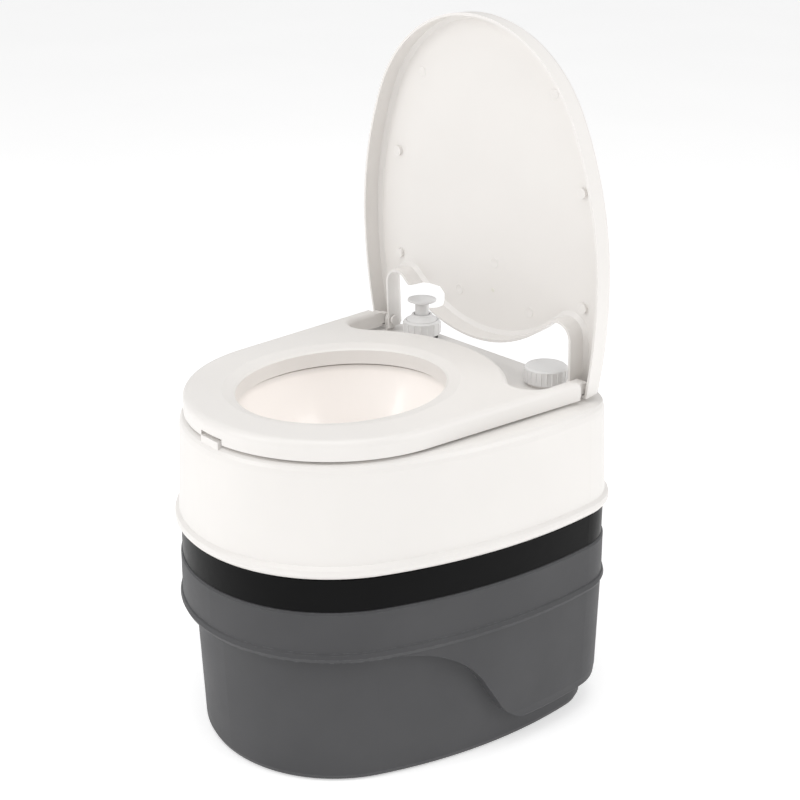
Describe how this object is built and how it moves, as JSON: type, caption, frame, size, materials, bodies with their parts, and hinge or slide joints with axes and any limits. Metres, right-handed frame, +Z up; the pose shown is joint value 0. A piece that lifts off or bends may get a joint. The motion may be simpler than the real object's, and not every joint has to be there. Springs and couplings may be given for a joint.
{
  "type": "cassette toilet",
  "caption": "Portable cassette toilet with hinged lid and seat, white flush tank with bowl, black valve deck and grey holding tank.",
  "frame": {"origin": "on the floor, in the middle of the footprint", "axes": "+Z up; the front of the seat faces -Y and the hinge is at +Y; +X is the side with the filler cap"},
  "size_m": [0.368, 0.3921, 0.6811],
  "materials": {
    "white_plastic": "satin moulded",
    "light_grey_plastic": "satin moulded",
    "grey_plastic": "fine satin, blow moulded",
    "black_plastic": "satin",
    "natural_plastic": "plain",
    "seal_rubber": "plain",
    "bright_steel": "plain"
  },
  "bodies": {
    "base": {"holding_tank": "grey_plastic", "valve_deck": "black_plastic", "valve_base": "black_plastic", "valve_cover": "black_plastic", "valve_seal": "seal_rubber", "valve_screws": "bright_steel", "latch_pin": "bright_steel", "spout_ring": "black_plastic", "spout_seal": "seal_rubber", "vent_sleeve": "black_plastic", "vent_boot": "seal_rubber"},
    "valve": {"valve_blade": "black_plastic", "valve_rod": "bright_steel", "valve_handle": "black_plastic"},
    "latch": {"latch_lever": "black_plastic"},
    "spout_arm": {"spout": "grey_plastic"},
    "spout_end": {"spout_cap": "black_plastic", "spout_cap_seal": "seal_rubber"},
    "vent": {"vent_button": "black_plastic", "vent_seal": "seal_rubber"},
    "upper": {"upper_tank": "white_plastic", "outlet_seal": "seal_rubber", "pump_neck": "black_plastic", "pump_cover": "light_grey_plastic", "pump_barrel": "natural_plastic", "suction_tube": "natural_plastic", "flush_tube": "natural_plastic", "flush_nozzle": "natural_plastic", "hinge_pin_left": "white_plastic", "hinge_pin_right": "white_plastic", "pump_bellows": "seal_rubber"},
    "filler": {"filler_cap": "light_grey_plastic", "filler_seal": "seal_rubber"},
    "collar": {"pump_collar": "light_grey_plastic"},
    "pump": {"pump_knob": "light_grey_plastic", "pump_piston": "natural_plastic"},
    "seat_ring": {"seat": "white_plastic", "seat_bumpers": "seal_rubber"},
    "lid_shell": {"lid": "white_plastic", "lid_bumpers": "white_plastic"}
  },
  "joints": [
    {"name": "unit_lift", "type": "slide", "parent": "base", "child": "upper", "axis": [0, 0, 1], "range_m": [0, 0.08]},
    {"name": "latch_swing", "type": "hinge", "parent": "base", "child": "latch", "pos_m": [0, 0.1895, 0.206], "axis": [-1, 0, 0], "range_deg": [0, 60.5]},
    {"name": "valve_slide", "type": "slide", "parent": "base", "child": "valve", "axis": [-1, 0, 0], "range_m": [0, 0.091]},
    {"name": "spout_swing", "type": "hinge", "parent": "base", "child": "spout_arm", "pos_m": [-0.088, 0.171, 0.1675], "axis": [0, 0, 1], "range_deg": [0, 95]},
    {"name": "spout_cap_turn", "type": "hinge", "parent": "spout_arm", "child": "spout_end", "pos_m": [-0.088, 0.171, 0.1675], "axis": [1, 0, 0], "range_deg": [0, 540]},
    {"name": "vent_press", "type": "slide", "parent": "base", "child": "vent", "axis": [0, -1, 0], "range_m": [0, 0.004], "stiffness_N_per_m": 150, "deforming": ["vent_boot"]},
    {"name": "filler_cap_turn", "type": "hinge", "parent": "upper", "child": "filler", "pos_m": [0.093, 0.154, 0.342], "axis": [0, 0, 1], "range_deg": [0, 720]},
    {"name": "pump_collar_turn", "type": "hinge", "parent": "upper", "child": "collar", "pos_m": [-0.093, 0.1585, 0.343], "axis": [0, 0, 1], "range_deg": [0, 540]},
    {"name": "pump_press", "type": "slide", "parent": "upper", "child": "pump", "axis": [0, 0, -1], "range_m": [0, 0.011], "stiffness_N_per_m": 300, "springref_m": -0.002, "deforming": ["pump_bellows"]},
    {"name": "seat_hinge", "type": "hinge", "parent": "upper", "child": "seat_ring", "pos_m": [0, 0.151, 0.3425], "axis": [-1, 0, 0], "range_deg": [0, 84]},
    {"name": "lid_hinge", "type": "hinge", "parent": "upper", "child": "lid_shell", "pos_m": [0, 0.151, 0.3425], "axis": [-1, 0, 0], "range_deg": [-87.6, 0]}
  ],
  "couplings": [
    {"joint": "latch_swing", "follows": "unit_lift", "rad_per_m": 13.09}
  ]
}
